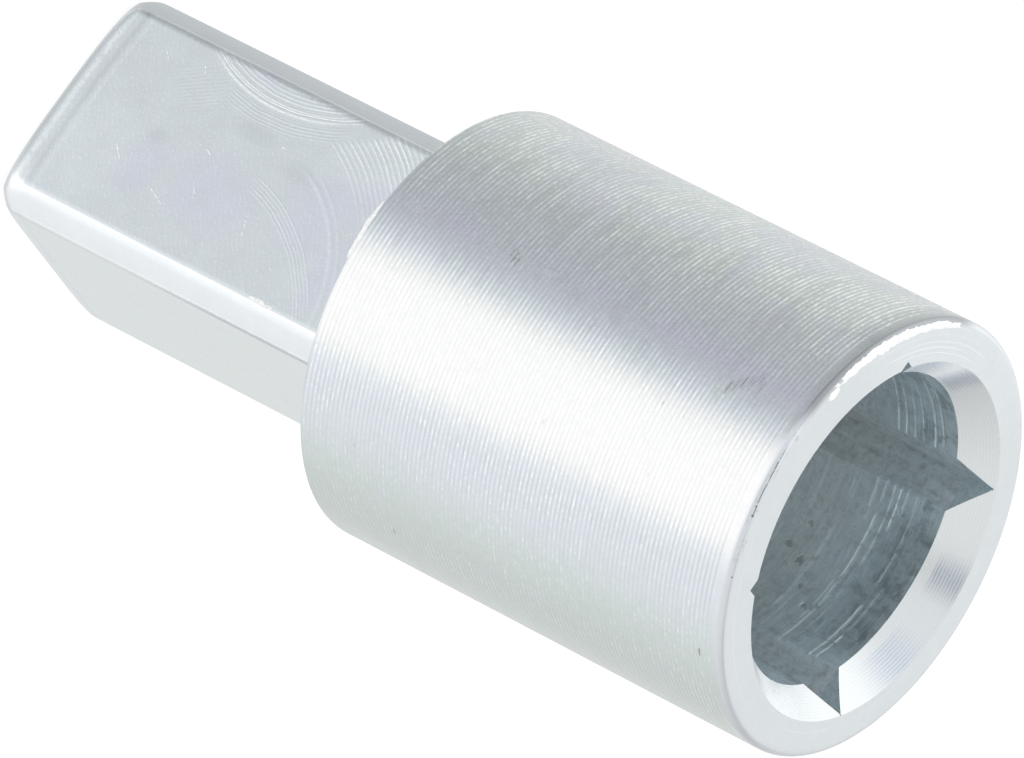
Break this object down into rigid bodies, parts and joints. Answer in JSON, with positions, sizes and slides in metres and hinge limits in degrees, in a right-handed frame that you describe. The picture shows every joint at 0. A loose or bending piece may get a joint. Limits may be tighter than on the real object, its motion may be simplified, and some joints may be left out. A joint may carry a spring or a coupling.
{
  "type": "handle spindle extension",
  "caption": "Turned steel extension for a square door handle spindle, with a milled square tang on one end and a broached square socket in a round sleeve on the other.",
  "frame": {"origin": "centre of the tang's end face, which the part stands on", "axes": "+Z along the turning axis from the tang's end face to the socket's mouth; X and Y square to the tang's flats"},
  "size_m": [0.0138, 0.0138, 0.0302],
  "materials": {
    "plated_steel": "fine turned and milled, bright zinc plated"
  },
  "bodies": {
    "root": {"spindle_extension": "plated_steel"}
  },
  "joints": []
}
